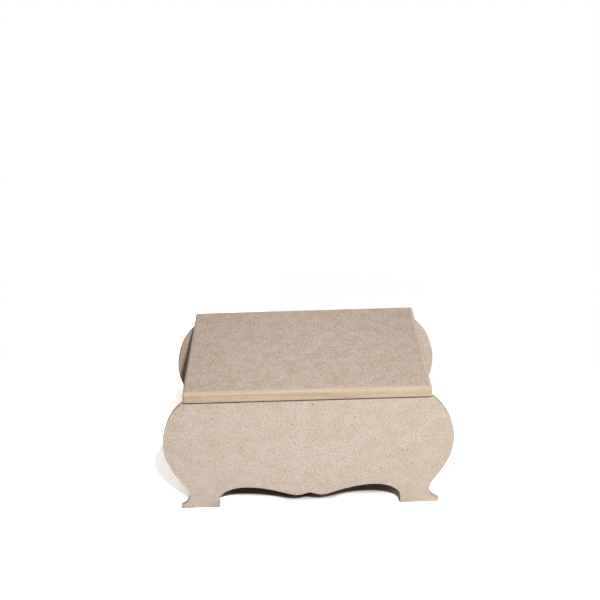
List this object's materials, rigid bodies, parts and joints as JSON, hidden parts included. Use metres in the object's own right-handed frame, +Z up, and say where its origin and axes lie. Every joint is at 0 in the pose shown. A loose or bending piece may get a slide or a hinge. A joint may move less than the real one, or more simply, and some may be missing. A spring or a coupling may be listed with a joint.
{
  "type": "keepsake box",
  "caption": "Raw MDF keepsake box with bulging front and back panels on splayed feet, and a flat lid hinged at the back.",
  "frame": {"origin": "on the table, under the middle of the lid: the bottom centre of the bounding box", "axes": "+X to the right seen from the front, +Y from the front panel to the back panel, +Z up"},
  "size_m": [0.314, 0.165, 0.16],
  "materials": {
    "raw_mdf": "raw sanded MDF face, matte",
    "raw_mdf_walls": "raw MDF, matte",
    "raw_mdf_lid": "raw sanded MDF face, matte, lighter at the rounded edge",
    "brass": "bright pressed brass"
  },
  "bodies": {
    "box": {"front_panel": "raw_mdf", "back_panel": "raw_mdf", "left_side_wall": "raw_mdf_walls", "right_side_wall": "raw_mdf_walls", "bottom_board": "raw_mdf_walls", "left_hinge_box_leaf": "brass", "left_hinge_pin": "brass", "left_hinge_box_nail_1": "brass", "left_hinge_box_nail_2": "brass", "right_hinge_box_leaf": "brass", "right_hinge_pin": "brass", "right_hinge_box_nail_1": "brass", "right_hinge_box_nail_2": "brass"},
    "lid": {"lid_board": "raw_mdf_lid", "left_hinge_lid_leaf": "brass", "left_hinge_lid_nail_1": "brass", "left_hinge_lid_nail_2": "brass", "right_hinge_lid_leaf": "brass", "right_hinge_lid_nail_1": "brass", "right_hinge_lid_nail_2": "brass"}
  },
  "joints": [
    {"name": "lid_hinge", "type": "hinge", "parent": "box", "child": "lid", "pos_m": [0, 0.0795, 0.1465], "axis": [-1, 0, 0], "range_deg": [0, 140]}
  ]
}
